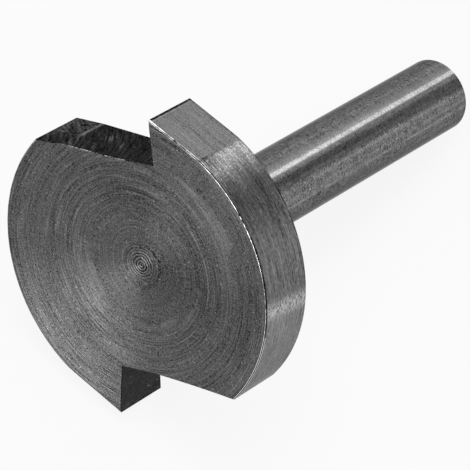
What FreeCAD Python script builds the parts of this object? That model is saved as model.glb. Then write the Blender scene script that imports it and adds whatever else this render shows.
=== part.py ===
# Disc groove cutter: a two-tooth cutting disc and its straight shank, turned from one bar of
# tool steel. The front face is turned hollow, both notches are milled, and each tooth has a
# ground flat behind its edge.
#
# The tool is drawn with its axis on Z, the rim of its front face at height zero and the shank
# below it.
# Tooth 1 points to +Y with its ground flat level, and tooth 2 points to -Y. Seen from the
# front the teeth cut anticlockwise, each with its notch ahead of it. The finished piece is
# then laid down as it comes to rest, on the flat of tooth 2 and on the edge of the shank's end.

import FreeCAD, Part
import math
import os

import Sketcher
from FreeCAD import Vector

NODE = "cutter_body"
OUT_DIR = "parts"
SAME_PLACE = 1e-4  # mm, closer than this counts as the same place

# Driving dimensions, in millimetres and degrees. Each name is a cell of the sheet.
DIMENSIONS = {
    "body_diameter": 32.0,          # rim of the disc between the teeth
    "edge_rise": 0.55,              # how far the cutting edges stand out past the rim
    "disc_thickness": 6.4,          # at the rim
    "face_hollow_depth": 1.15,      # below the rim, on the axis
    "face_land": 0.3,               # flat ring left between the hollow and the rim
    "overall_length": 52.5,         # front of the rim to the end of the shank
    "shank_diameter": 8.0,
    "shank_root_fillet": 0.5,
    "shank_end_chamfer": 0.25,
    # Both teeth. The floor angles are measured from the ground flat of the same tooth.
    "hook": 8.5,                    # cutting face against the radius through its edge
    "cutting_face_length": 4.95,    # edge to the root of the notch
    "inner_floor_angle": 29.8,
    # The hand-ground flats and the outer floors aren't quite alike on the two teeth.
    "first_flat_length": 6.66,      # ground flat, from its heel on the rim to the edge
    "first_inner_floor_length": 4.9,
    "first_outer_floor_angle": 24.4,
    "second_flat_length": 7.35,
    "second_inner_floor_length": 3.9,
    "second_outer_floor_angle": 27.2,
}

doc = FreeCAD.newDocument("disc_groove_cutter")


def make_sheet():
    sheet = doc.addObject("Spreadsheet::Sheet", "Sizes")
    for row, (name, value) in enumerate(DIMENSIONS.items(), start=1):
        sheet.set(f"A{row}", name)
        sheet.set(f"B{row}", str(value))
        sheet.setAlias(f"B{row}", name)
    doc.recompute()
    return sheet


def origin_plane(body, role):
    return next(item for item in body.Origin.OriginFeatures if item.Role == role)


def new_sketch(body, name, depth=None):
    """A sketch on the body's XY plane, or below it by the depth that an expression gives."""
    sketch = body.newObject("Sketcher::SketchObject", name)
    sketch.AttachmentSupport = [(origin_plane(body, "XY_Plane"), "")]
    sketch.MapMode = "FlatFace"
    if depth:
        sketch.setExpression(".AttachmentOffset.Base.z", f"-({depth})")
    return sketch


def bind(sketch, constraint, expression):
    """Adds a constraint to the sketch and ties its value to the sheet."""
    index = sketch.addConstraint(constraint)
    sketch.setExpression(f"Constraints[{index}]", expression)


def pad(body, name, sketch, length):
    """A pad that grows away from the front face, towards the shank's end."""
    feature = body.newObject("PartDesign::Pad", name)
    feature.Profile = sketch
    feature.setExpression("Length", length)
    feature.Reversed = True
    sketch.Visibility = False
    doc.recompute()
    return feature


def tooth_points(sheet, prefix, side):
    """Corners of one tooth and its notch, from the heel of the flat to the notch's far end."""
    body_radius = sheet.body_diameter / 2
    edge_radius = body_radius + sheet.edge_rise
    flat_length = getattr(sheet, f"{prefix}_flat_length")
    face_length = sheet.cutting_face_length
    inner_angle = math.radians(sheet.inner_floor_angle)
    inner_length = getattr(sheet, f"{prefix}_inner_floor_length")
    outer_angle = math.radians(getattr(sheet, f"{prefix}_outer_floor_angle"))

    # The heel, the edge and the axis make a triangle of known sides, with the flat level.
    edge_x = -(edge_radius**2 + flat_length**2 - body_radius**2) / (2 * flat_length)
    edge_y = math.sqrt(edge_radius**2 - edge_x**2)
    face_lean = math.asin(-edge_x / edge_radius) + math.radians(sheet.hook)
    root_x = edge_x + face_length * math.sin(face_lean)
    root_y = edge_y - face_length * math.cos(face_lean)
    bend_x = root_x - inner_length * math.cos(inner_angle)
    bend_y = root_y - inner_length * math.sin(inner_angle)
    # The outer floor runs on from the bend until it meets the rim.
    along = bend_x * math.cos(outer_angle) + bend_y * math.sin(outer_angle)
    run = along + math.sqrt(along**2 + body_radius**2 - bend_x**2 - bend_y**2)
    end_x = bend_x - run * math.cos(outer_angle)
    end_y = bend_y - run * math.sin(outer_angle)
    corners = (
        (edge_x + flat_length, edge_y),
        (edge_x, edge_y),
        (root_x, root_y),
        (bend_x, bend_y),
        (end_x, end_y),
    )
    return [Vector(side * x, side * y, 0) for x, y in corners]


def add_tooth(sketch, sheet, prefix, side):
    """Flat, cutting face and the two floors of one tooth, tied to the sheet.

    Tooth 1 has side 1. Tooth 2 has side -1 and lies half a turn further round the axis.
    """
    corners = tooth_points(sheet, prefix, side)
    flat, face, inner, outer = [
        sketch.addGeometry(Part.LineSegment(a, b), False) for a, b in zip(corners, corners[1:])
    ]
    radius = sketch.addGeometry(Part.LineSegment(Vector(0, 0, 0), corners[1]), True)
    for first, second in ((flat, face), (face, inner), (inner, outer)):
        sketch.addConstraint(Sketcher.Constraint("Coincident", first, 2, second, 1))
    sketch.addConstraint(Sketcher.Constraint("Coincident", radius, 1, -1, 1))
    sketch.addConstraint(Sketcher.Constraint("Coincident", radius, 2, flat, 2))
    sketch.addConstraint(Sketcher.Constraint("Horizontal", flat))

    def set_length(line, expression):
        length = sketch.Geometry[line].length()
        bind(sketch, Sketcher.Constraint("Distance", line, length), expression)

    def set_angle(line, point, other, cell):
        """Anticlockwise angle from one line to the start of another."""
        angle = math.radians(getattr(sheet, cell))
        turn = Sketcher.Constraint("Angle", line, point, other, 1, angle)
        bind(sketch, turn, f"Sizes.{cell} * 1 deg")

    set_length(radius, "Sizes.body_diameter / 2 + Sizes.edge_rise")
    set_length(flat, f"Sizes.{prefix}_flat_length")
    set_length(face, "Sizes.cutting_face_length")
    set_length(inner, f"Sizes.{prefix}_inner_floor_length")
    set_angle(radius, 2, face, "hook")
    set_angle(flat, 1, inner, "inner_floor_angle")
    set_angle(flat, 1, outer, f"{prefix}_outer_floor_angle")
    return {"flat": flat, "outer": outer, "heel": corners[0], "end": corners[-1]}


def draw_disc(body, sheet):
    sketch = new_sketch(body, "DiscOutline")
    first = add_tooth(sketch, sheet, "first", 1)
    second = add_tooth(sketch, sheet, "second", -1)

    # A rim arc joins each notch's far end to the heel of the other tooth.
    rim = Part.Circle(Vector(0, 0, 0), Vector(0, 0, 1), sheet.body_diameter / 2)
    for notch, tooth in ((first, second), (second, first)):
        start, end = [math.atan2(p.y, p.x) for p in (notch["end"], tooth["heel"])]
        arc = sketch.addGeometry(Part.ArcOfCircle(rim, start, end), False)
        sketch.addConstraint(Sketcher.Constraint("Coincident", arc, 3, -1, 1))
        sketch.addConstraint(Sketcher.Constraint("Coincident", arc, 1, notch["outer"], 2))
        sketch.addConstraint(Sketcher.Constraint("Coincident", arc, 2, tooth["flat"], 1))
        bind(sketch, Sketcher.Constraint("Radius", arc, rim.Radius), "Sizes.body_diameter / 2")
    doc.recompute()
    return sketch


def draw_hollow(body, sheet):
    """Half section of the hollow face: a shallow arc from the land down to the axis."""
    sketch = body.newObject("Sketcher::SketchObject", "HollowSection")
    sketch.AttachmentSupport = [(origin_plane(body, "XZ_Plane"), "")]
    sketch.MapMode = "FlatFace"
    radius = sheet.body_diameter / 2 - sheet.face_land
    depth = sheet.face_hollow_depth
    bend = (radius**2 + depth**2) / (2 * depth)
    middle, low, edge = Vector(0, 0, 0), Vector(0, -depth, 0), Vector(radius, 0, 0)
    circle = Part.Circle(Vector(0, bend - depth, 0), Vector(0, 0, 1), bend)
    start, end = -math.pi / 2, math.asin((depth - bend) / bend)
    arc = sketch.addGeometry(Part.ArcOfCircle(circle, start, end), False)
    top = sketch.addGeometry(Part.LineSegment(edge, middle), False)
    axis = sketch.addGeometry(Part.LineSegment(middle, low), False)
    sketch.addConstraint(Sketcher.Constraint("Coincident", arc, 2, top, 1))
    sketch.addConstraint(Sketcher.Constraint("Coincident", top, 2, axis, 1))
    sketch.addConstraint(Sketcher.Constraint("Coincident", axis, 2, arc, 1))
    sketch.addConstraint(Sketcher.Constraint("Coincident", top, 2, -1, 1))
    sketch.addConstraint(Sketcher.Constraint("Horizontal", top))
    sketch.addConstraint(Sketcher.Constraint("Vertical", axis))
    sketch.addConstraint(Sketcher.Constraint("PointOnObject", arc, 3, -2))
    land = "Sizes.body_diameter / 2 - Sizes.face_land"
    bind(sketch, Sketcher.Constraint("Distance", top, radius), land)
    bind(sketch, Sketcher.Constraint("Distance", axis, depth), "Sizes.face_hollow_depth")
    doc.recompute()
    return sketch


def hollow_face(body, sheet):
    feature = body.newObject("PartDesign::Groove", "FaceHollow")
    feature.Profile = draw_hollow(body, sheet)
    feature.ReferenceAxis = (feature.Profile[0], ["V_Axis"])
    feature.Angle = 360
    feature.Profile[0].Visibility = False
    doc.recompute()
    return feature


def draw_shank(body, sheet):
    sketch = new_sketch(body, "ShankCircle", depth="Sizes.disc_thickness")
    circle = Part.Circle(Vector(0, 0, 0), Vector(0, 0, 1), sheet.shank_diameter / 2)
    ring = sketch.addGeometry(circle, False)
    sketch.addConstraint(Sketcher.Constraint("Coincident", ring, 3, -1, 1))
    bind(sketch, Sketcher.Constraint("Radius", ring, circle.Radius), "Sizes.shank_diameter / 2")
    doc.recompute()
    return sketch


def rings(shape, radius, height):
    """Names of the round edges of this radius at this height."""
    names = []
    for number, edge in enumerate(shape.Edges, start=1):
        # The hollow's lowest point is an edge without a curve.
        if edge.Degenerated or not isinstance(edge.Curve, Part.Circle):
            continue
        level = all(abs(vertex.Z - height) < SAME_PLACE for vertex in edge.Vertexes)
        if level and abs(edge.Curve.Radius - radius) < SAME_PLACE:
            names.append(f"Edge{number}")
    return names


def dress(body, kind, name, base, edges, size):
    feature = body.newObject(f"PartDesign::{kind}", name)
    feature.Base = (base, edges)
    feature.setExpression("Radius" if kind == "Fillet" else "Size", size)
    doc.recompute()
    return feature


def make_cutter(sheet):
    body = doc.addObject("PartDesign::Body", NODE)
    body.Label = NODE
    pad(body, "Disc", draw_disc(body, sheet), "Sizes.disc_thickness")
    hollow_face(body, sheet)
    shank_length = "Sizes.overall_length - Sizes.disc_thickness"
    shank = pad(body, "Shank", draw_shank(body, sheet), shank_length)

    shank_radius = sheet.shank_diameter / 2
    root = rings(shank.Shape, shank_radius, -sheet.disc_thickness)
    filleted = dress(body, "Fillet", "ShankRoot", shank, root, "Sizes.shank_root_fillet")
    end = rings(filleted.Shape, shank_radius, -sheet.overall_length)
    dress(body, "Chamfer", "ShankEnd", filleted, end, "Sizes.shank_end_chamfer")
    return body


def lay_down(body):
    """Rests the tool on the flat of tooth 2 and the shank's end, over the frame's origin."""
    edge_radius = "(Sizes.body_diameter / 2 + Sizes.edge_rise)"
    flat_length = "Sizes.second_flat_length"
    edge_run = (
        f"(({edge_radius} ^ 2 + {flat_length} ^ 2 - (Sizes.body_diameter / 2) ^ 2)"
        f" / (2 * {flat_length}))"
    )
    flat = f"sqrt({edge_radius} ^ 2 - {edge_run} ^ 2)"
    shank_radius = "Sizes.shank_diameter / 2"
    chamfer = "Sizes.shank_end_chamfer"
    span = f"(Sizes.overall_length - {chamfer} - Sizes.disc_thickness)"
    lean = f"atan(({flat} - {shank_radius}) / {span})"
    # The back edge of the flat is the lowest line of the disc.
    lift = f"{flat} * cos({lean}) + Sizes.disc_thickness * sin({lean})"
    # The end of the shank and the front edge of the flat reach furthest along Y.
    back = f"(({shank_radius} - {chamfer}) * sin({lean}) + Sizes.overall_length * cos({lean}))"
    front = f"{flat} * sin({lean})"
    place = f"vector(0; ({front} - {back}) / 2; {lift})"
    turn = f"rotation(vector(1; 0; 0); 90 deg - {lean})"
    body.setExpression("Placement", f"placement({place}; {turn})")
    doc.recompute()


def check_document(bodies):
    failed = [o.Name for o in doc.Objects if {"Invalid", "Error"} & set(o.State)]
    if failed:
        raise RuntimeError(f"failed features: {failed}")
    for body in bodies:
        if body.Shape.isNull() or not body.Shape.isValid() or len(body.Shape.Solids) != 1:
            raise RuntimeError(f"{body.Label} isn't one valid solid")


def write_parts(bodies):
    os.makedirs(OUT_DIR, exist_ok=True)
    for body in bodies:
        body.Shape.exportStep(os.path.join(OUT_DIR, f"{body.Label}.step"))
        box = body.Shape.BoundBox
        print(
            f"{body.Label}: volume {body.Shape.Volume:.1f} mm3,",
            f"x {box.XMin:.3f} {box.XMax:.3f}, y {box.YMin:.3f} {box.YMax:.3f},",
            f"z {box.ZMin:.3f} {box.ZMax:.3f}",
        )


sizes = make_sheet()
cutter = make_cutter(sizes)
lay_down(cutter)
check_document([cutter])
write_parts([cutter])
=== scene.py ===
# The looks of the disc groove cutter: a hollow-faced two-tooth disc on a straight shank, lying
# on the ground flat of its second tooth and on the end of the shank.

import math

import bmesh
import bpy
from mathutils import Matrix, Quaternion, Vector


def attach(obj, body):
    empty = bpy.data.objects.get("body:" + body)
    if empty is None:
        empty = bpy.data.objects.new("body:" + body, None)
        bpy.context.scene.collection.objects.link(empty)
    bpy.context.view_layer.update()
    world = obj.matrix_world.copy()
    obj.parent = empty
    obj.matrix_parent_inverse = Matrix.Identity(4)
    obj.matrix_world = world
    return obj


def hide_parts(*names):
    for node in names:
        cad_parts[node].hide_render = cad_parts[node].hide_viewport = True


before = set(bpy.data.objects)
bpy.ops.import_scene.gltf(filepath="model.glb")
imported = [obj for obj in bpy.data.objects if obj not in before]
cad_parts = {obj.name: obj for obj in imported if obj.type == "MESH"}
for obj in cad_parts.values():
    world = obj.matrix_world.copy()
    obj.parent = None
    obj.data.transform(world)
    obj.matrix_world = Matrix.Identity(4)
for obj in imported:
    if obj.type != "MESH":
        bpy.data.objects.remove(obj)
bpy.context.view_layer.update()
print("stage: frame loaded")

# How the tool lies: its own axis is drawn on Z in millimetres and then leant back and put down.
lyingTool = {
    "turn": math.radians(90.0 - 14.444448583774122),
    "place": (0.0, -0.023916080427780408, 0.016906863202533447),
    "millimetre": 0.001,
}
toolAxis = (0.0, -math.sin(lyingTool["turn"]), math.cos(lyingTool["turn"]))

mergeGap = 0.0005  # points closer than this are one point
finishes = ("turnedFace", "turnedRim", "groundFlat", "milledNotch", "groundShank", "brightEdge",
            "paintedShadeEdge", "burrEdge")


def deselectAll():
    if bpy.context.object and bpy.context.object.mode != "OBJECT":
        bpy.ops.object.mode_set(mode="OBJECT")
    bpy.ops.object.select_all(action="DESELECT")


def pickOnly(item):
    deselectAll()
    item.select_set(True)
    bpy.context.view_layer.objects.active = item


def drawLine(name, points):
    # a plane merged to one point is the start, and each stretch is extruded from the last
    deselectAll()
    bpy.ops.mesh.primitive_plane_add(size=1.0, location=(0, 0, 0))
    line = bpy.context.object
    line.name = name
    bpy.ops.object.mode_set(mode="EDIT")
    bpy.ops.mesh.select_all(action="SELECT")
    bpy.ops.mesh.merge(type="CENTER")
    bpy.ops.transform.translate(value=points[0])
    for here, there in zip(points, points[1:]):
        bpy.ops.mesh.extrude_vertices_move(
            TRANSFORM_OT_translate={"value": tuple(b - a for a, b in zip(here, there))})
    return line


def mergePoints():
    bpy.ops.mesh.select_all(action="SELECT")
    bpy.ops.mesh.remove_doubles(threshold=mergeGap)


def closeShape():
    bpy.ops.mesh.select_all(action="SELECT")
    bpy.ops.mesh.normals_make_consistent(inside=False)
    bpy.ops.object.mode_set(mode="OBJECT")


def spinRound(line, steps):
    bpy.ops.mesh.select_all(action="SELECT")
    bpy.ops.mesh.spin(steps=steps, angle=math.tau, center=(0, 0, 0), axis=(0, 0, 1))
    mergePoints()
    closeShape()
    return line


def joinSolid(main, other, operation):
    pickOnly(main)
    cut = main.modifiers.new("cut", "BOOLEAN")
    cut.operation = operation
    cut.solver = "EXACT"
    cut.object = other
    bpy.ops.object.modifier_apply(modifier=cut.name)
    bpy.data.objects.remove(other, do_unlink=True)


# lengths in millimetres from the middle of the front rim, with the shank below it
disc = {
    "rimRadius": 16.0,
    "edgeRadius": 16.55,
    "thickness": 6.4,
    "arcSteps": 96,
}
# hook and angles in degrees; "turned" is where the tooth points
teeth = (
    {"turned": 0.0, "flat": 6.66, "hook": 8.5, "face": 4.95, "inner": 4.9, "innerAngle": 29.8,
     "outerAngle": 24.4, "facetX": -12.1, "facetAngle": 27.6},
    {"turned": 180.0, "flat": 7.35, "hook": 8.5, "face": 4.95, "inner": 3.9, "innerAngle": 29.8,
     "outerAngle": 27.2},
)


def toothCorners(tooth):
    # the heel, the edge and the axis make a triangle of known sides, with the flat level
    edgeX = -(disc["edgeRadius"]**2 + tooth["flat"]**2 - disc["rimRadius"]**2) / (2 * tooth["flat"])
    edgeY = math.sqrt(disc["edgeRadius"]**2 - edgeX**2)
    lean = math.asin(-edgeX / disc["edgeRadius"]) + math.radians(tooth["hook"])
    root = (edgeX + tooth["face"] * math.sin(lean), edgeY - tooth["face"] * math.cos(lean))
    innerAngle, outerAngle = math.radians(tooth["innerAngle"]), math.radians(tooth["outerAngle"])
    bend = (root[0] - tooth["inner"] * math.cos(innerAngle),
            root[1] - tooth["inner"] * math.sin(innerAngle))
    corners = [(edgeX + tooth["flat"], edgeY), (edgeX, edgeY), root, bend]
    last = bend
    if "facetX" in tooth:
        # the mill was set again for the last stretch, which drops a little more
        run = last[0] - tooth["facetX"]
        last = (tooth["facetX"], last[1] - run * math.tan(outerAngle))
        corners.append(last)
        outerAngle = math.radians(tooth["facetAngle"])
    along = last[0] * math.cos(outerAngle) + last[1] * math.sin(outerAngle)
    run = along + math.sqrt(along**2 + disc["rimRadius"]**2 - last[0]**2 - last[1]**2)
    corners.append((last[0] - run * math.cos(outerAngle), last[1] - run * math.sin(outerAngle)))
    side = math.cos(math.radians(tooth["turned"]))
    return [(side * x, side * y, 0.0) for x, y in corners]


def rimArc(start, goal):
    # round the rim, from the end of one tooth's notch to the other tooth's heel
    startAngle = math.atan2(start[-1][1], start[-1][0])
    turn = (math.atan2(goal[0][1], goal[0][0]) - startAngle) % math.tau
    angles = [startAngle + turn * step / disc["arcSteps"]
              for step in range(1, disc["arcSteps"] + 1)]
    return [(disc["rimRadius"] * math.cos(angle), disc["rimRadius"] * math.sin(angle), 0.0)
            for angle in angles]


def makeDisc():
    first, second = (toothCorners(tooth) for tooth in teeth)
    outline = drawLine("cutter", first + rimArc(first, second) + second[1:]
                       + rimArc(second, first))
    mergePoints()
    bpy.ops.mesh.edge_face_add()
    bpy.ops.mesh.extrude_region_move(
        TRANSFORM_OT_translate={"value": (0, 0, -disc["thickness"])})
    closeShape()
    return outline


# the hollow is a shallow arc inside a narrow flat land; "pip" is radius and height of its middle
hollow = {
    "depth": 1.15,
    "radius": 15.7,
    "innerRing": 8.3,
    "innerSlope": 2.6,
    "innerDrop": 0.07,
    "pip": ((0.0, 0.05), (0.10, 0.03), (0.16, -0.02), (0.26, -0.005)),
    "arcStart": 0.4,
    "arcStep": 0.35,
    "arcEnd": 16.2,
    "outside": 16.4,
    "above": 1.0,
    "spinSteps": 256,
}


def makeHollow():
    deepest = -hollow["depth"] - hollow["innerDrop"]
    points = [(radius, 0.0, deepest + height) for radius, height in hollow["pip"]]
    bend = (hollow["radius"]**2 + hollow["depth"]**2) / (2 * hollow["depth"])
    arcMiddle = deepest + hollow["innerDrop"]
    radius = hollow["arcStart"]
    while radius < hollow["arcEnd"]:
        # the middle was turned a little deeper, up a short slope to the inner ring
        slope = min(max((hollow["innerRing"] - radius) / hollow["innerSlope"], 0.0), 1.0)
        arc = arcMiddle + bend - math.sqrt(bend**2 - radius**2)
        points.append((radius, 0.0, arc - hollow["innerDrop"] * slope))
        radius += hollow["arcStep"]
    points += [(hollow["outside"], 0.0, hollow["above"]), (0.0, 0.0, hollow["above"])]
    return spinRound(drawLine("hollow", points), hollow["spinSteps"])


shank = {
    "radius": 4.0,
    "end": 52.5,
    "fillet": 0.5,
    "filletSteps": 8,
    "chamfer": 0.25,
    "rooted": 0.6,
    "spinSteps": 128,
}


def makeShank():
    radius, end, fillet, back = shank["radius"], shank["end"], shank["fillet"], -disc["thickness"]
    inside = back + shank["rooted"]
    points = [(0.0, 0.0, inside), (radius + fillet, 0.0, inside)]
    for step in range(shank["filletSteps"] + 1):
        angle = math.radians(90.0 * step / shank["filletSteps"])
        points.append((radius + fillet * (1 - math.sin(angle)), 0.0,
                       back - fillet * (1 - math.cos(angle))))
    points += [(radius, 0.0, -end + shank["chamfer"]), (radius - shank["chamfer"], 0.0, -end),
               (0.0, 0.0, -end)]
    return spinRound(drawLine("shank", points), shank["spinSteps"])


# Breaks and lengths in millimetres, angles in degrees. The shares say how far a face looks along
# the axis or straight out from it, where 1 is wholly.
edges = {
    "frontBreak": 0.125,
    "cuttingBreak": 0.05,
    "notchBreak": 0.06,
    "backBreak": 0.06,
    "sharpAngle": 24.0,
    "smoothAngle": 22.0,
    "hair": 0.001,
    "level": 0.01,
    "nearRim": 0.1,
    "nearFlat": 0.5,
    "beyondRim": 16.3,  # the cutting edges lie further out
    "beyondShank": 5.0,
    "short": 1.0,  # a step of the rim's arc is shorter, and a cutting edge is longer
    "frontDepth": 2.0,  # the edges round the front lie less deep
    "alongShare": 0.9,
    "planeShare": 0.999,
    "uprightShare": 0.2,
    "outwardShare": 0.9,
    "innerShare": 0.75,
    "rimShare": 0.999,
    "flatShare": 0.95,
}
# Both sides of the broken front edge are bright on the first flat and low down, where the outer
# side is a painted highlight. Elsewhere the outer side is as dull as the rim, and painted shade
# behind the burr.
outerSides = (("brightEdge", 80, 110), ("brightEdge", -25, 14), ("paintedShadeEdge", 18, 50))


def pickEdges(body, wanted):
    # selects the edges that a rule on their two ends and face normals accepts
    pickOnly(body)
    bpy.ops.object.mode_set(mode="EDIT")
    bpy.ops.mesh.select_mode(type="EDGE")
    bpy.ops.mesh.select_all(action="DESELECT")
    mesh = bmesh.from_edit_mesh(body.data)
    count = 0
    for edge in mesh.edges:
        if len(edge.link_faces) == 2 and wanted(edge):
            edge.select_set(True)
            count += 1
    bmesh.update_edit_mesh(body.data)
    return count


def middleOf(edge):
    return (edge.verts[0].co + edge.verts[1].co) / 2


def isSharp(edge):
    return edge.calc_face_angle(0.0) > math.radians(edges["sharpAngle"])


def isFrontRim(edge):
    # where the narrow land of the front meets the rim and the flats
    upright = min((face.normal for face in edge.link_faces), key=lambda normal: abs(normal.z))
    outward = upright.xy.normalized().dot(middleOf(edge).xy.normalized())
    return (isSharp(edge) and all(abs(vert.co.z) < edges["level"] for vert in edge.verts)
            and abs(upright.z) < edges["uprightShare"] and outward > edges["outwardShare"])


def isCuttingEdge(edge):
    # the two lines along the axis where a flat meets a cutting face
    rise = abs(edge.verts[0].co.z - edge.verts[1].co.z)
    return (isSharp(edge) and middleOf(edge).xy.length > edges["beyondRim"]
            and rise >= edges["short"])


def isOuterEdge(edge):
    # round the front or the back, clear of the shank
    return (isSharp(edge) and edge.verts[0].co.xy.length > edges["beyondShank"]
            and any(abs(face.normal.z) > edges["alongShare"] for face in edge.link_faces))


def isFrontNotch(edge):
    return isOuterEdge(edge) and all(vert.co.z > -edges["frontDepth"] for vert in edge.verts)


def isBackRim(edge):
    # only the short steps of the rim's arcs: the flats and notches keep their sharp back edges
    atBack = all(vert.co.z < -disc["thickness"] + edges["nearRim"] for vert in edge.verts)
    offRim = abs(middleOf(edge).xy.length - disc["rimRadius"])
    return (isOuterEdge(edge) and atBack and edge.calc_length() < edges["short"]
            and offRim < edges["nearRim"])


def whichFinish(face):
    # finish by where the face is and where it looks, in the tool's own millimetres
    normal, middle = face.normal, face.calc_center_median()
    made = finishes[face.material_index]
    if made == "brightEdge" and normal.z < edges["innerShare"]:
        angle = math.degrees(math.atan2(middle.y, middle.x))
        for finish, low, high in outerSides:
            if low < angle < high:
                return finish
        return "turnedRim"
    if made != "turnedFace":
        return made
    if middle.z < -disc["thickness"] - edges["hair"]:
        atEnd = middle.z < -shank["end"] + shank["chamfer"]
        return "turnedFace" if atEnd and normal.z < -edges["alongShare"] else "groundShank"
    if abs(normal.z) > edges["alongShare"]:
        return "turnedFace"
    inward = disc["rimRadius"] - middle.xy.length
    outward = middle.xy.normalized().dot(normal.xy.normalized())
    if inward < edges["nearRim"] and outward > edges["rimShare"]:
        return "turnedRim"
    if inward < edges["nearFlat"] and outward > edges["flatShare"]:
        return "groundFlat"
    return "milledNotch"


def layDown(body):
    pickOnly(body)
    body.scale = [lyingTool["millimetre"]] * 3
    body.rotation_euler = (lyingTool["turn"], 0.0, 0.0)
    body.location = lyingTool["place"]
    bpy.ops.object.transform_apply(location=True, rotation=True, scale=True)


def makeCutter():
    body = makeDisc()
    joinSolid(body, makeHollow(), "DIFFERENCE")
    joinSolid(body, makeShank(), "UNION")
    print("stage: solid made,", len(body.data.polygons), "faces")
    for name in finishes:
        body.data.materials.append(bpy.data.materials.new(name))
    for face in body.data.polygons:
        face.material_index = finishes.index("turnedFace")
    for rule, offset, steps, finish in (
            (isFrontRim, edges["frontBreak"], 2, "brightEdge"),
            # the cutting edges and the steps of the back rim are broken with the painted shade edge
            (isCuttingEdge, edges["cuttingBreak"], 1, "paintedShadeEdge"),
            (isFrontNotch, edges["notchBreak"], 1, "burrEdge"),
            (isBackRim, edges["backBreak"], 1, "paintedShadeEdge")):
        picked = pickEdges(body, rule)
        bpy.ops.mesh.bevel(offset=offset, offset_type="OFFSET", segments=steps, profile=0.5,
                           affect="EDGES", clamp_overlap=False, material=finishes.index(finish))
        print("stage: broken edges,", finish, picked)
    bpy.ops.object.mode_set(mode="OBJECT")
    mesh = bmesh.new()
    mesh.from_mesh(body.data)
    mesh.normal_update()
    for face in mesh.faces:
        face.material_index = finishes.index(whichFinish(face))
    for edge in mesh.edges:
        # the plane back stays plane up to the fillet of the shank
        edge.smooth = all(face.normal.z >= -edges["planeShare"] for face in edge.link_faces)
    mesh.to_mesh(body.data)
    mesh.free()
    pickOnly(body)
    bpy.ops.object.shade_smooth_by_angle(angle=math.radians(edges["smoothAngle"]))
    layDown(body)
    print("stage: cutter laid down,", len(body.data.polygons), "faces")
    return body


def newTree(name):
    material = bpy.data.materials[name]
    material.use_nodes = True
    material.node_tree.nodes.clear()
    return material.node_tree


def addNode(tree, kind, values=None, **settings):
    node = tree.nodes.new(kind)
    for key, value in settings.items():
        setattr(node, key, value)
    for key, value in (values or {}).items():
        node.inputs[key].default_value = value
    return node


def plug(tree, source, goal):
    # a socket takes another socket, a number or a place
    if isinstance(source, bpy.types.NodeSocket):
        tree.links.new(source, goal)
    else:
        goal.default_value = source


def fill(tree, node, sources):
    for source, goal in zip(sources, node.inputs):
        plug(tree, source, goal)
    return node.outputs[0]


def sums(tree, operation, *sources):
    return fill(tree, addNode(tree, "ShaderNodeMath", operation=operation), sources)


def plus(tree, first, second):
    return sums(tree, "ADD", first, second)


def minus(tree, first, second):
    return sums(tree, "SUBTRACT", first, second)


def times(tree, first, second):
    return sums(tree, "MULTIPLY", first, second)


def highest(tree, first, second):
    return sums(tree, "MAXIMUM", first, second)


def above(tree, source, limit):
    return sums(tree, "GREATER_THAN", source, limit)


def below(tree, source, limit):
    return sums(tree, "LESS_THAN", source, limit)


def vectorSums(tree, operation, *sources):
    return fill(tree, addNode(tree, "ShaderNodeVectorMath", operation=operation), sources)


def lengthOf(tree, vector):
    node = addNode(tree, "ShaderNodeVectorMath", operation="LENGTH")
    plug(tree, vector, node.inputs[0])
    return node.outputs["Value"]


def ramp(tree, source, low, high, lowOut=0.0, highOut=1.0):
    node = addNode(tree, "ShaderNodeMapRange", {
        "From Min": low, "From Max": high, "To Min": lowOut, "To Max": highOut},
        interpolation_type="SMOOTHSTEP")
    plug(tree, source, node.inputs["Value"])
    return node.outputs["Result"]


def between(tree, source, start, full, fading, end):
    # 1 between the two middle limits, and down to 0 at the outer two
    return times(tree, ramp(tree, source, start, full), ramp(tree, source, end, fading))


def nearLine(tree, source, wide, narrow):
    # 1 along the line where the source is 0, and down to 0 on both sides of it
    return ramp(tree, sums(tree, "ABSOLUTE", source), wide, narrow)


def noise(tree, place, scale, detail=2.0, roughness=0.5):
    node = addNode(tree, "ShaderNodeTexNoise", {"Detail": detail, "Roughness": roughness})
    plug(tree, place, node.inputs["Vector"])
    plug(tree, scale, node.inputs["Scale"])
    return node.outputs["Fac"]


def newGroup(name, inputs, outputs):
    group = bpy.data.node_groups.new(name, "ShaderNodeTree")
    group.interface.new_socket("Place", in_out="INPUT", socket_type="NodeSocketVector")
    for title, value in inputs.items():
        socket = group.interface.new_socket(title, in_out="INPUT", socket_type="NodeSocketFloat")
        socket.default_value = value
    for title in outputs:
        group.interface.new_socket(title, in_out="OUTPUT", socket_type="NodeSocketFloat")
    return group, addNode(group, "NodeGroupInput"), addNode(group, "NodeGroupOutput")


def useGroup(tree, name, place, values):
    node = addNode(tree, "ShaderNodeGroup", node_tree=bpy.data.node_groups[name])
    plug(tree, place, node.inputs["Place"])
    for key, value in values.items():
        node.inputs[key].default_value = value
    return node


def makeMarkGroup():
    # fine lines that a cutting or grinding tool leaves: the place comes in stretched along them
    group, start, end = newGroup("toolMarks", {"Fine": 5.0, "Broad": 1.2, "Broken": 0.5},
                                 ("Height", "Lines"))
    place = start.outputs["Place"]
    fine = noise(group, place, start.outputs["Fine"], 2.0, 0.6)
    broad = noise(group, place, start.outputs["Broad"], 1.0, 0.5)
    # patches where the fine lines fade out
    keep = ramp(group, noise(group, place, 0.37, 1.0), 0.4, 0.62)
    fade = times(group, start.outputs["Broken"], minus(group, 1.0, keep))
    amount = minus(group, 1.0, fade)
    ripple = times(group, minus(group, fine, 0.5), amount)
    # and low broad waves under them
    swell = times(group, minus(group, broad, 0.5), 0.22)
    plug(group, plus(group, ripple, swell), end.inputs["Height"])
    plug(group, ramp(group, plus(group, ripple, 0.5), 0.58, 0.72), end.inputs["Lines"])


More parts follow.
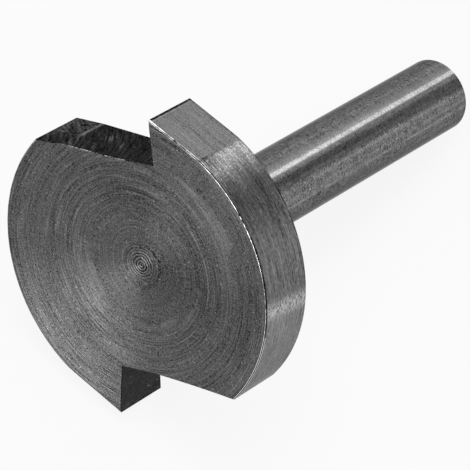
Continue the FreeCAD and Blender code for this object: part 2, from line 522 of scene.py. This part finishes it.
def makeGrainGroup():
    # pits, bright specks and cloudy tone of bare steel
    group, start, end = newGroup("steelGrain", {"Speck Size": 4.0, "Cloud Size": 0.25},
                                 ("Specks", "Pits", "Grain", "Cloud"))
    place = start.outputs["Place"]
    speck = noise(group, place, start.outputs["Speck Size"], 1.0, 0.4)
    cloud = noise(group, place, start.outputs["Cloud Size"], 3.0, 0.6)
    grain = noise(group, place, 7.0, 1.0, 0.7)
    plug(group, ramp(group, speck, 0.68, 0.78), end.inputs["Specks"])
    plug(group, ramp(group, speck, 0.34, 0.24), end.inputs["Pits"])
    plug(group, minus(group, grain, 0.5), end.inputs["Grain"])
    plug(group, minus(group, cloud, 0.5), end.inputs["Cloud"])


def toolPlace(tree):
    # object coordinates turned back into the tool's own millimetres
    here = addNode(tree, "ShaderNodeTexCoord")
    turn = addNode(tree, "ShaderNodeMapping", {
        "Location": lyingTool["place"], "Rotation": (lyingTool["turn"], 0.0, 0.0),
        "Scale": [lyingTool["millimetre"]] * 3}, vector_type="TEXTURE")
    plug(tree, here.outputs["Object"], turn.inputs["Vector"])
    return turn.outputs["Vector"]


def splitPlace(tree, place):
    parts = addNode(tree, "ShaderNodeSeparateXYZ")
    plug(tree, place, parts.inputs[0])
    return parts.outputs["X"], parts.outputs["Y"], parts.outputs["Z"]


def joinPlace(tree, *parts):
    return fill(tree, addNode(tree, "ShaderNodeCombineXYZ"), parts)


def drawnOut(tree, across, first, second, amount):
    # marks close together across, and drawn out the other two ways
    return joinPlace(tree, across, times(tree, first, amount), times(tree, second, amount))


def besideLine(tree, x, y, degrees):
    # how far a place lies beside the plane through the axis at this angle
    angle = math.radians(degrees)
    return minus(tree, times(tree, x, math.sin(angle)), times(tree, y, math.cos(angle)))


def rimTowards(tree, x, y, degrees):
    # 1 on the rim at this angle, and less round it
    angle = math.radians(degrees)
    return plus(tree, times(tree, x, math.cos(angle) / disc["rimRadius"]),
                times(tree, y, math.sin(angle) / disc["rimRadius"]))


def spreadFromAxis(tree, shader):
    # turning lines run round the axis, so the shine spreads straight out from it
    here = addNode(tree, "ShaderNodeTexCoord")
    away = vectorSums(tree, "SUBTRACT", here.outputs["Object"], lyingTool["place"])
    sideways = vectorSums(tree, "CROSS_PRODUCT", away, toolAxis)
    outwards = vectorSums(tree, "CROSS_PRODUCT", toolAxis, sideways)
    plug(tree, vectorSums(tree, "NORMALIZE", outwards), shader.inputs["Tangent"])


def spreadAlongAxis(tree, shader):
    plug(tree, vectorSums(tree, "NORMALIZE", toolAxis), shader.inputs["Tangent"])


def steelShader(tree, look):
    glance = look.get("glance", 0.35)
    shader = addNode(tree, "ShaderNodeBsdfPrincipled", {
        "Metallic": 1.0, "Anisotropic": look.get("spread", 0.0),
        "Specular Tint": (glance, glance, glance, 1)})
    out = addNode(tree, "ShaderNodeOutputMaterial")
    plug(tree, shader.outputs["BSDF"], out.inputs["Surface"])
    return shader


steelLimits = {
    "darkest": 0.004,
    "smoothest": 0.08,
}


def giveTone(tree, shader, look, changes):
    # tone and roughness from a plain grey and a list of (socket, tone change, roughness change)
    tone, rough = look["tone"], look["rough"]
    for source, toneChange, roughChange in changes:
        if toneChange:
            tone = plus(tree, times(tree, source, toneChange * look["tone"]), tone)
        if roughChange:
            rough = plus(tree, times(tree, source, roughChange), rough)
    grey = addNode(tree, "ShaderNodeCombineColor")
    held = highest(tree, tone, steelLimits["darkest"])
    for channel in ("Red", "Green", "Blue"):
        plug(tree, held, grey.inputs[channel])
    plug(tree, grey.outputs[0], shader.inputs["Base Color"])
    plug(tree, highest(tree, rough, steelLimits["smoothest"]), shader.inputs["Roughness"])


def giveBump(tree, shader, height, micrometres):
    bump = addNode(tree, "ShaderNodeBump", {"Strength": 1.0, "Distance": micrometres * 1e-6})
    plug(tree, height, bump.inputs["Height"])
    plug(tree, bump.outputs["Normal"], shader.inputs["Normal"])


# In the looks that follow, places are in millimetres, angles in degrees and the ripple, which is
# how deep the marks are, in micrometres. A pair or four of numbers are the limits between which a
# mark comes in and goes out. The smaller a stretch is, the longer the marks are drawn out.
faceLook = {
    "tone": 0.106,
    "rough": 0.36,
    "spread": 0.8,
    "ripple": 26.0,
    "rings": {"Fine": 9.0, "Broad": 1.1, "Broken": 0.4},
    "ringStretch": 0.024,
    "grain": {"Speck Size": 3.6, "Cloud Size": 0.22},
    "deepRing": 8.45,
    "deepRingWidth": (0.12, 0.02),
    "pipReach": (2.3, 0.4),
    "pipWaves": 21.0,
    "pipWobble": 8.0,
    "faintRings": (2.2, 3.2, 5.0, 6.6),
    "faintBy": 0.62,
    "belt": (5.4, 6.8, 8.5, 9.4),
    "paintedShadePlace": (2.6, 0.8, -1.0),
    "paintedShadeReach": (5.6, 1.4),
    # rubbed places: x, y, half length round the axis, half width, and how much lighter
    "rubbed": ((4.8, 11.1, 4.4, 0.75, 0.24), (7.3, 10.2, 1.4, 0.8, 0.32),
               (-4.7, -4.25, 0.9, 0.4, 0.4), (-2.6, -7.4, 1.0, 0.5, 0.3),
               (5.3, -3.5, 1.2, 0.5, 0.3), (-5.0, -5.3, 3.8, 1.5, 0.2)),
}


def rubbedPlaces(tree, place, x, y, away, spots):
    # patches with ragged edges, long round the axis
    rubbed = None
    ragged = times(tree, minus(tree, noise(tree, place, 0.9, 3.0), 0.5), 2.2)
    for spotX, spotY, half, width, lighter in spots:
        spotAway = math.hypot(spotX, spotY)
        across = sums(tree, "DIVIDE", minus(tree, away, spotAway), width)
        along = plus(tree, times(tree, x, -spotY / spotAway / half),
                     times(tree, y, spotX / spotAway / half))
        off = plus(tree, times(tree, across, across), times(tree, along, along))
        facing = plus(tree, times(tree, x, spotX), times(tree, y, spotY))
        spot = ramp(tree, plus(tree, off, ragged), 1.25, 0.6)
        spot = times(tree, spot, above(tree, facing, 0.0))
        spot = times(tree, spot, lighter)
        rubbed = spot if rubbed is None else highest(tree, rubbed, spot)
    return rubbed


def finishFace(look):
    tree = newTree("turnedFace")
    shader = steelShader(tree, look)
    spreadFromAxis(tree, shader)
    place = toolPlace(tree)
    x, y, z = splitPlace(tree, place)
    away = lengthOf(tree, joinPlace(tree, x, y))
    # rings: close together across the radius, long round the axis
    rings = useGroup(tree, "toolMarks", drawnOut(tree, away, x, y, look["ringStretch"]),
                     look["rings"])
    grain = useGroup(tree, "steelGrain", place, look["grain"])
    # the tool bit chattered close to the middle
    near = ramp(tree, away, *look["pipReach"])
    wobble = times(tree, noise(tree, place, 1.1), look["pipWobble"])
    waves = sums(tree, "SINE", plus(tree, times(tree, away, look["pipWaves"]), wobble))
    chatter = times(tree, waves, near)
    # one deeper ring, seen as a broken bright line
    deepRing = nearLine(tree, minus(tree, away, look["deepRing"]), *look["deepRingWidth"])
    deepRing = times(tree, deepRing, ramp(tree, noise(tree, place, 0.3, 1.0), 0.42, 0.6))
    rubbed = rubbedPlaces(tree, place, x, y, away, look["rubbed"])
    # the rings are faint between the pip and the belt
    faint = times(tree, between(tree, away, *look["faintRings"]), look["faintBy"])
    ringHeight = times(tree, rings.outputs["Height"], minus(tree, 1.0, faint))
    # painted shade: darker near the middle on one side, and inside the deeper ring on the same
    # side, and a little darker all over that upper side
    offPaintedShade = lengthOf(tree, vectorSums(tree, "SUBTRACT", place, look["paintedShadePlace"]))
    paintedShade = ramp(tree, offPaintedShade, *look["paintedShadeReach"])
    upper = ramp(tree, plus(tree, times(tree, x, 0.3), y), -1.0, 4.0)
    inside = times(tree, ramp(tree, away, look["deepRing"] + 0.1, look["deepRing"] - 0.3),
                   ramp(tree, away, 6.2, 7.6))
    paintedShade = highest(tree, paintedShade, times(tree, inside, upper))
    paintedShade = plus(tree, paintedShade, times(tree, upper, 0.4))
    # the rings show best in one belt
    belt = times(tree, between(tree, away, *look["belt"]), rings.outputs["Lines"])
    height = plus(tree, ringHeight, times(tree, chatter, 0.8))
    height = plus(tree, height, times(tree, grain.outputs["Grain"], 0.35))
    height = plus(tree, height, times(tree, deepRing, 0.5))
    giveTone(tree, shader, look, (
        (ringHeight, 2.7, 0.0), (rings.outputs["Lines"], 0.25, -0.03),
        (grain.outputs["Specks"], 1.3, -0.05), (grain.outputs["Pits"], -0.4, 0.05),
        (grain.outputs["Grain"], 2.8, 0.0), (grain.outputs["Cloud"], 0.4, 0.12),
        (deepRing, 0.6, -0.05), (chatter, 0.95, 0.0), (rubbed, 1.0, 0.1), (belt, 0.4, -0.05),
        (paintedShade, -0.2, 0.0)))
    giveBump(tree, shader, height, look["ripple"])


rimLook = {
    "tone": 0.156,
    "rough": 0.23,
    "spread": 0.55,
    "glance": 0.55,
    "ripple": 30.0,
    "lines": {"Fine": 9.5, "Broad": 1.4, "Broken": 0.3},
    "lineStretch": 0.045,
    "grain": {"Speck Size": 3.4, "Cloud Size": 0.3},
    "speckStretch": 0.45,
    "burrShade": (-0.47, -0.27),
    "burrAngle": 32,
    "paintedBackShade": (-6.2, -6.28),
    "paintedHighlightAngle": 22.5,
    "paintedHighlightWidth": (1.4, 0.1),
    "paintedShadeAngle": 60,
    "paintedShadeShare": (0.965, 0.99),
    "heelShadeX": (3.9, 2.5),
    "heelShadeZ": (-3.0, -0.7),
}


def finishRim(look):
    tree = newTree("turnedRim")
    shader = steelShader(tree, look)
    spreadAlongAxis(tree, shader)
    place = toolPlace(tree)
    x, y, z = splitPlace(tree, place)
    along = drawnOut(tree, z, x, y, look["lineStretch"])
    lines = useGroup(tree, "toolMarks", along, look["lines"])
    # specks on the rim are drawn out round it
    drawn = joinPlace(tree, times(tree, x, look["speckStretch"]),
                      times(tree, y, look["speckStretch"]), z)
    grain = useGroup(tree, "steelGrain", drawn, look["grain"])
    height = plus(tree, lines.outputs["Height"], times(tree, grain.outputs["Grain"], 0.8))
    # a dull line behind the burr of the front edge, and painted shade as a darker line along the
    # back edge
    ragged = times(tree, noise(tree, along, 0.8), 0.3)
    burrShade = ramp(tree, minus(tree, z, ragged), *look["burrShade"])
    burrSide = rimTowards(tree, x, y, look["burrAngle"])
    burrShade = times(tree, burrShade, ramp(tree, burrSide, 0.92, 0.975))
    paintedBackShade = ramp(tree, z, *look["paintedBackShade"])
    # a painted highlight: one place is brighter, in a line that leans a little
    beside = besideLine(tree, x, y, look["paintedHighlightAngle"])
    beside = plus(tree, beside, times(tree, plus(tree, z, 3.2), 0.12))
    bright = times(tree, nearLine(tree, beside, *look["paintedHighlightWidth"]),
                   ramp(tree, noise(tree, drawn, 6.5), 0.34, 0.62))
    bright = times(tree, bright, above(tree, x, 0.0))
    # painted shade darkens the rim on the way up, and painted light makes it a little brighter low
    # down
    paintedShade = ramp(tree, rimTowards(tree, x, y, look["paintedShadeAngle"]), *look["paintedShadeShare"])
    low = times(tree, ramp(tree, y, 6.8, 5.2), above(tree, x, 0.0))
    low = times(tree, low, ramp(tree, y, -3.4, 0.4, 0.1, 1.0))
    # painted shade beside the first tooth's heel: the front corner is darker
    heel = times(tree, ramp(tree, x, *look["heelShadeX"]), ramp(tree, z, *look["heelShadeZ"]))
    heel = times(tree, heel, above(tree, x, 0.0))
    heel = times(tree, heel, above(tree, y, 0.0))
    giveTone(tree, shader, look, (
        (lines.outputs["Height"], 3.0, 0.0), (grain.outputs["Specks"], 0.6, -0.06),
        (grain.outputs["Pits"], -0.2, 0.05), (grain.outputs["Grain"], 1.6, 0.0),
        (grain.outputs["Cloud"], 0.2, 0.1), (burrShade, -0.75, 0.1), (paintedBackShade, -0.65, 0.05),
        (bright, 2.1, -0.02), (paintedShade, -0.16, 0.0), (low, 0.5, 0.0), (heel, -0.45, 0.0)))
    giveBump(tree, shader, height, look["ripple"])


flatLook = {
    "tone": 0.153,
    "rough": 0.34,
    "spread": 0.5,
    "ripple": 5.0,
    "lines": {"Fine": 8.5, "Broad": 1.6, "Broken": 0.5},
    "lineStretch": 0.03,
    "askew": 0.03,
    "grain": {"Speck Size": 3.0},
    "wornEdge": 4.37,
    "secondLonger": 0.22,
    "paintedBackShade": (-6.18, -6.3),
    "heelStep": 1.92,
    "heelStepWidth": (0.16, 0.05),
}


def finishFlat(look):
    tree = newTree("groundFlat")
    shader = steelShader(tree, look)
    spreadAlongAxis(tree, shader)
    place = toolPlace(tree)
    x, y, z = splitPlace(tree, place)
    # the wheel ran from the edge to the heel, a little askew
    askew = plus(tree, z, times(tree, x, look["askew"]))
    lines = useGroup(tree, "toolMarks", drawnOut(tree, askew, x, y, look["lineStretch"]),
                     look["lines"])
    grain = useGroup(tree, "steelGrain", place, look["grain"])
    # the cutting edge is worn dark with a light line beside it, and painted shade makes a dark line
    # along the back edge
    fromMiddle = minus(tree, sums(tree, "ABSOLUTE", x),
                       times(tree, below(tree, y, 0.0), look["secondLonger"]))
    edge = look["wornEdge"]
    worn = ramp(tree, fromMiddle, edge - 0.04, edge + 0.05)
    lightLine = times(tree, ramp(tree, fromMiddle, edge - 0.2, edge - 0.1), minus(tree, 1.0, worn))
    paintedBackShade = ramp(tree, z, *look["paintedBackShade"])
    # the wheel left a soft dark step at the front of the heel
    step = nearLine(tree, minus(tree, fromMiddle, look["heelStep"]), *look["heelStepWidth"])
    cuttingHalf = below(tree, times(tree, x, y), 0.0)
    step = times(tree, step, minus(tree, 1.0, cuttingHalf))
    step = times(tree, step, ramp(tree, z, -3.8, -0.6))
    giveTone(tree, shader, look, (
        (lines.outputs["Height"], 2.7, 0.0), (lines.outputs["Lines"], 0.35, -0.04),
        (grain.outputs["Pits"], -0.12, 0.04), (grain.outputs["Cloud"], 0.2, 0.08),
        (grain.outputs["Grain"], 2.4, 0.0), (worn, -0.88, 0.1), (lightLine, 0.3, 0.0),
        (paintedBackShade, -0.65, 0.05), (step, -0.5, 0.05)))
    giveBump(tree, shader, lines.outputs["Height"], look["ripple"])


notchLook = {
    "tone": 0.043,
    "rough": 0.45,
    "glance": 0.3,
    "ripple": 22.0,
    "arcs": {"Fine": 7.0, "Broad": 0.8, "Broken": 0.35},
    "arcMiddle": (-30.0, 20.0, 4.0),
    "arcStretch": 0.06,
    "grain": {"Speck Size": 4.0},
    "smearStretch": 0.4,
    "facetLine": -12.05,
    "facetLineWidth": (0.3, 0.08),
}


def finishNotch(look):
    tree = newTree("milledNotch")
    shader = steelShader(tree, look)
    place = toolPlace(tree)
    x, y, z = splitPlace(tree, place)
    # arcs that the end mill's teeth left, one beside the other
    apart = lengthOf(tree, vectorSums(tree, "SUBTRACT", place, look["arcMiddle"]))
    arcs = useGroup(tree, "toolMarks", drawnOut(tree, apart, y, z, look["arcStretch"]),
                    look["arcs"])
    # the first notch is scratched, less so on its last facet, and the second is nearly plain
    upper = plus(tree, times(tree, above(tree, y, 0.0), 0.85), 0.15)
    inner = plus(tree, times(tree, above(tree, x, look["facetLine"]), 0.75), 0.25)
    scratches = times(tree, times(tree, arcs.outputs["Lines"], upper), inner)
    uneven = times(tree, arcs.outputs["Height"], upper)
    # chips left short scratches and light smears
    drawn = drawnOut(tree, apart, y, z, look["smearStretch"])
    grain = useGroup(tree, "steelGrain", drawn, look["grain"])
    # the floor's last facet begins with a rubbed line and is smeared towards the back
    beside = minus(tree, x, look["facetLine"])
    beside = plus(tree, beside, times(tree, noise(tree, place, 1.2), 0.3))
    facet = nearLine(tree, plus(tree, beside, 0.05), *look["facetLineWidth"])
    kept = highest(tree, ramp(tree, noise(tree, place, 1.1), 0.38, 0.55),
                   ramp(tree, z, -3.4, -4.6))
    facet = times(tree, facet, kept)
    smears = times(tree, below(tree, beside, 0.0), ramp(tree, noise(tree, drawn, 7.5), 0.44, 0.6))
    smears = times(tree, smears, ramp(tree, z, -1.0, -4.5))
    giveTone(tree, shader, look, (
        (uneven, 3.5, 0.0), (scratches, 2.9, -0.05),
        (grain.outputs["Specks"], 1.9, -0.08), (grain.outputs["Grain"], 1.8, 0.0),
        (grain.outputs["Cloud"], 0.6, 0.1), (facet, 2.6, 0.0), (smears, 1.9, 0.0)))
    giveBump(tree, shader, uneven, look["ripple"])


shankLook = {
    "tone": 0.163,
    "rough": 0.175,
    "spread": 0.6,
    "glance": 0.44,
    "ripple": 0.45,
    "lines": {"Fine": 8.5, "Broad": 1.6, "Broken": 0.4},
    "lineStretch": 0.35,
    "streakStretch": 0.03,
    "grain": {"Speck Size": 4.5},
    # painted reflections: light lines along the shank, where round it, and how strong
    "paintedReflectionLines": ((57.0, 1.0), (46.0, 0.55), (33.0, 0.55), (22.5, 1.0)),
    "paintedReflectionWidth": (0.24, 0.06),
    "smoothLine": 83.0,
}


def finishShank(look):
    tree = newTree("groundShank")
    shader = steelShader(tree, look)
    spreadAlongAxis(tree, shader)
    place = toolPlace(tree)
    x, y, z = splitPlace(tree, place)
    # close grinding lines round the shank, and faint streaks along it
    lines = useGroup(tree, "toolMarks", drawnOut(tree, z, x, y, look["lineStretch"]),
                     look["lines"])
    along = joinPlace(tree, x, y, times(tree, z, look["streakStretch"]))
    streaks = ramp(tree, noise(tree, along, 1.6, 2.0, 0.6), 0.5, 0.7)
    # painted reflections: light lines along the shank at set angles round it
    drawn = None
    for angle, strength in look["paintedReflectionLines"]:
        line = nearLine(tree, besideLine(tree, x, y, angle), *look["paintedReflectionWidth"])
        line = times(tree, line, strength)
        drawn = line if drawn is None else highest(tree, drawn, line)
    drawn = times(tree, drawn, ramp(tree, noise(tree, place, 0.5), 0.3, 0.55))
    grain = useGroup(tree, "steelGrain", place, look["grain"])
    # one strip along the top was ground smoother
    offStrip = sums(tree, "ABSOLUTE", besideLine(tree, x, y, look["smoothLine"]))
    calm = ramp(tree, offStrip, 0.5, 1.1, 0.5, 1.0)
    uneven = times(tree, lines.outputs["Height"], calm)
    grainy = times(tree, grain.outputs["Grain"], calm)
    giveTone(tree, shader, look, (
        (uneven, 3.1, 0.0), (streaks, 0.22, 0.04), (drawn, 0.45, 0.0),
        (grainy, 2.8, 0.0), (grain.outputs["Cloud"], 0.15, 0.06)))
    height = plus(tree, lines.outputs["Height"], times(tree, grain.outputs["Grain"], 0.12))
    giveBump(tree, shader, height, look["ripple"])


# "shines" are painted highlights on the bright edge and the place of the burr on the notch edge: x,
# y and how far each reaches
edgeLooks = {
    "brightEdge": {"tone": 0.78, "rough": 0.3, "broken": 0.5, "patch": 0.8, "worn": 0.5,
                   "nicked": 0.6, "shine": 0.9, "shines": ((-4.5, 15.8, 2.6), (15.8, -1.5, 9.0))},
    # painted shade: a near-black edge for the cutting edges, the back rim's steps and behind the
    # burr
    "paintedShadeEdge": {"tone": 0.03, "rough": 0.45, "broken": 0.3, "patch": 1.1, "worn": 0.5,
                 "nicked": 0.25, "glance": 0.06},
    # a burr stands up along the middle of a notch's edge
    "burrEdge": {"tone": 0.6, "rough": 0.35, "broken": 0.93, "patch": 4.0, "worn": 0.56,
                 "nicked": 0.4, "dullElsewhere": True, "shines": ((-8.7, 8.1, 5.5),)},
}


def finishEdge(name, look):
    tree = newTree(name)
    shader = steelShader(tree, look)
    place = toolPlace(tree)
    worn = ramp(tree, noise(tree, place, look["patch"], 3.0, 0.7), look["worn"],
                look["worn"] - 0.18)
    nick = ramp(tree, noise(tree, place, 1.5), 0.57, 0.43)
    shine = 0.0
    for spotX, spotY, reach in look.get("shines", ()):
        off = lengthOf(tree, vectorSums(tree, "SUBTRACT", place, (spotX, spotY, 0.0)))
        shine = highest(tree, shine, ramp(tree, off, reach, 0.2 * reach))
    if look.get("dullElsewhere"):
        # away from the burr the edge is as dull as the notch
        worn = highest(tree, worn, minus(tree, 1.0, shine))
    changes = [(worn, -look["broken"], 0.1), (nick, -look["nicked"], 0.05)]
    # the bright edge gets a painted highlight at its spots
    if "shine" in look:
        changes.append((shine, look["shine"], 0.0))
    giveTone(tree, shader, look, changes)


cutter = makeCutter()
makeMarkGroup()
makeGrainGroup()
finishFace(faceLook)
finishRim(rimLook)
finishFlat(flatLook)
finishNotch(notchLook)
finishShank(shankLook)
for edgeName, edgeLook in edgeLooks.items():
    finishEdge(edgeName, edgeLook)
print("stage: finishes made")


def addPlane(name, size):
    deselectAll()
    bpy.ops.mesh.primitive_plane_add(size=size, location=(0, 0, 0))
    plane = bpy.context.object
    plane.name = name
    plane.data.materials.append(bpy.data.materials.new(name))
    return plane


def mixShaders(tree, share, first, second):
    return fill(tree, addNode(tree, "ShaderNodeMixShader"), (share, first, second))


paleFloor = {
    "size": 3.0,
    "grey": 0.9,
    "glow": 0.88,  # the share of plain white that the camera and the steel see in it
}


def makeFloor():
    floor = addPlane("paleFloor", paleFloor["size"])
    tree = newTree("paleFloor")
    matt = addNode(tree, "ShaderNodeBsdfDiffuse", {"Color": (*[paleFloor["grey"]] * 3, 1)})
    glow = addNode(tree, "ShaderNodeEmission", {"Color": (1, 1, 1, 1), "Strength": 1.0})
    path = addNode(tree, "ShaderNodeLightPath")
    seen = highest(tree, path.outputs["Is Camera Ray"], path.outputs["Is Glossy Ray"])
    mixed = mixShaders(tree, times(tree, seen, paleFloor["glow"]), matt.outputs["BSDF"],
                       glow.outputs["Emission"])
    plug(tree, mixed, addNode(tree, "ShaderNodeOutputMaterial").inputs["Surface"])


studio = {
    "white": 1.0,
    "allRound": 0.35,
}


def makeWorld():
    # white where it is seen, straight or in the steel, and a weaker light all round
    world = bpy.data.worlds.new("studio")
    bpy.context.scene.world = world
    world.use_nodes = True
    tree = world.node_tree
    tree.nodes.clear()
    path = addNode(tree, "ShaderNodeLightPath")
    seen = highest(tree, path.outputs["Is Camera Ray"], path.outputs["Is Glossy Ray"])
    seen = highest(tree, seen, path.outputs["Is Transmission Ray"])
    white = addNode(tree, "ShaderNodeBackground", {
        "Color": (1, 1, 1, 1), "Strength": studio["white"]})
    weak = addNode(tree, "ShaderNodeBackground", {
        "Color": (1, 1, 1, 1), "Strength": studio["allRound"]})
    mixed = mixShaders(tree, seen, weak.outputs["Background"], white.outputs["Background"])
    plug(tree, mixed, addNode(tree, "ShaderNodeOutputWorld").inputs["Surface"])


lampGoal = (0.0, -0.016, 0.02)
lamps = {
    "key": {"from": (-0.13, -0.97, 0.18), "distance": 0.55, "size": (0.40, 0.14), "power": 1.35},
    "top": {"from": (-0.1, -0.1, 1.0), "distance": 0.6, "size": (0.5, 0.5), "power": 1.5},
    "window": {"from": (-0.08, 0.85, 0.5), "distance": 0.5, "size": (0.075, 0.2), "power": 0.18},
    "windowSide": {"from": (-0.28, 0.81, 0.5), "distance": 0.5, "size": (0.13, 0.2),
                   "power": 0.065},
}


def addLamp(name, values):
    goal = Vector(lampGoal)
    place = goal + Vector(values["from"]).normalized() * values["distance"]
    lamp = bpy.data.lights.new(name, "AREA")
    lamp.shape = "RECTANGLE"
    lamp.size, lamp.size_y = values["size"]
    lamp.energy = values["power"]
    holder = bpy.data.objects.new(name, lamp)
    bpy.context.scene.collection.objects.link(holder)
    holder.location = place
    holder.rotation_euler = (goal - place).to_track_quat("-Z", "Y").to_euler()


def directionOf(values):
    # azimuth 0 is the front and 90 the right; height is degrees up from level
    azimuth, height = math.radians(values["azimuth"]), math.radians(values["height"])
    return Vector((math.sin(azimuth) * math.cos(height), -math.cos(azimuth) * math.cos(height),
                   math.sin(height)))


shadeCard = {
    "azimuth": 160.5,
    "height": 22.0,
    "distance": 0.5,
    "size": (0.165, 0.3),
    "grey": 0.46,
}


def makeShadeCard():
    # a grey card beside the lamp: it only shows as a darker band in the steel
    away = directionOf(shadeCard)
    card = addPlane("shadeCard", 1.0)
    card.scale = (*shadeCard["size"], 1.0)
    card.rotation_euler = away.to_track_quat("Z", "Y").to_euler()
    card.location = away * shadeCard["distance"]
    tree = newTree("shadeCard")
    matt = addNode(tree, "ShaderNodeBsdfDiffuse", {"Color": (*[shadeCard["grey"]] * 3, 1)})
    out = addNode(tree, "ShaderNodeOutputMaterial")
    plug(tree, matt.outputs["BSDF"], out.inputs["Surface"])
    card.visible_camera = False
    card.visible_shadow = False
    card.visible_diffuse = False


camera = {
    "goal": (0.005231, -0.015703, 0.020509),
    "distance": 0.343457,
    "azimuth": 30.4386,
    "height": 50.9667,
    "roll": 14.6569,
    "lens": 271.7,
    "sensor": 36.0,
    "nearest": 0.01,
}


def makeCamera():
    lens = bpy.data.cameras.new("camera")
    lens.lens = camera["lens"]
    lens.sensor_width = camera["sensor"]
    lens.sensor_fit = "HORIZONTAL"
    lens.clip_start = camera["nearest"]
    holder = bpy.data.objects.new("camera", lens)
    bpy.context.scene.collection.objects.link(holder)
    away = directionOf(camera)
    holder.location = Vector(camera["goal"]) + away * camera["distance"]
    look = (-away).to_track_quat("-Z", "Y")
    holder.rotation_euler = (look @ Quaternion((0, 0, 1), math.radians(camera["roll"]))).to_euler()
    bpy.context.scene.camera = holder


makeFloor()
makeWorld()
for lampName, lampValues in lamps.items():
    addLamp(lampName, lampValues)
makeShadeCard()
makeCamera()
bpy.context.scene.view_settings.view_transform = "Standard"
print("stage: floor, light and camera made")

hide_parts("cutter_body")
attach(cutter, "root")
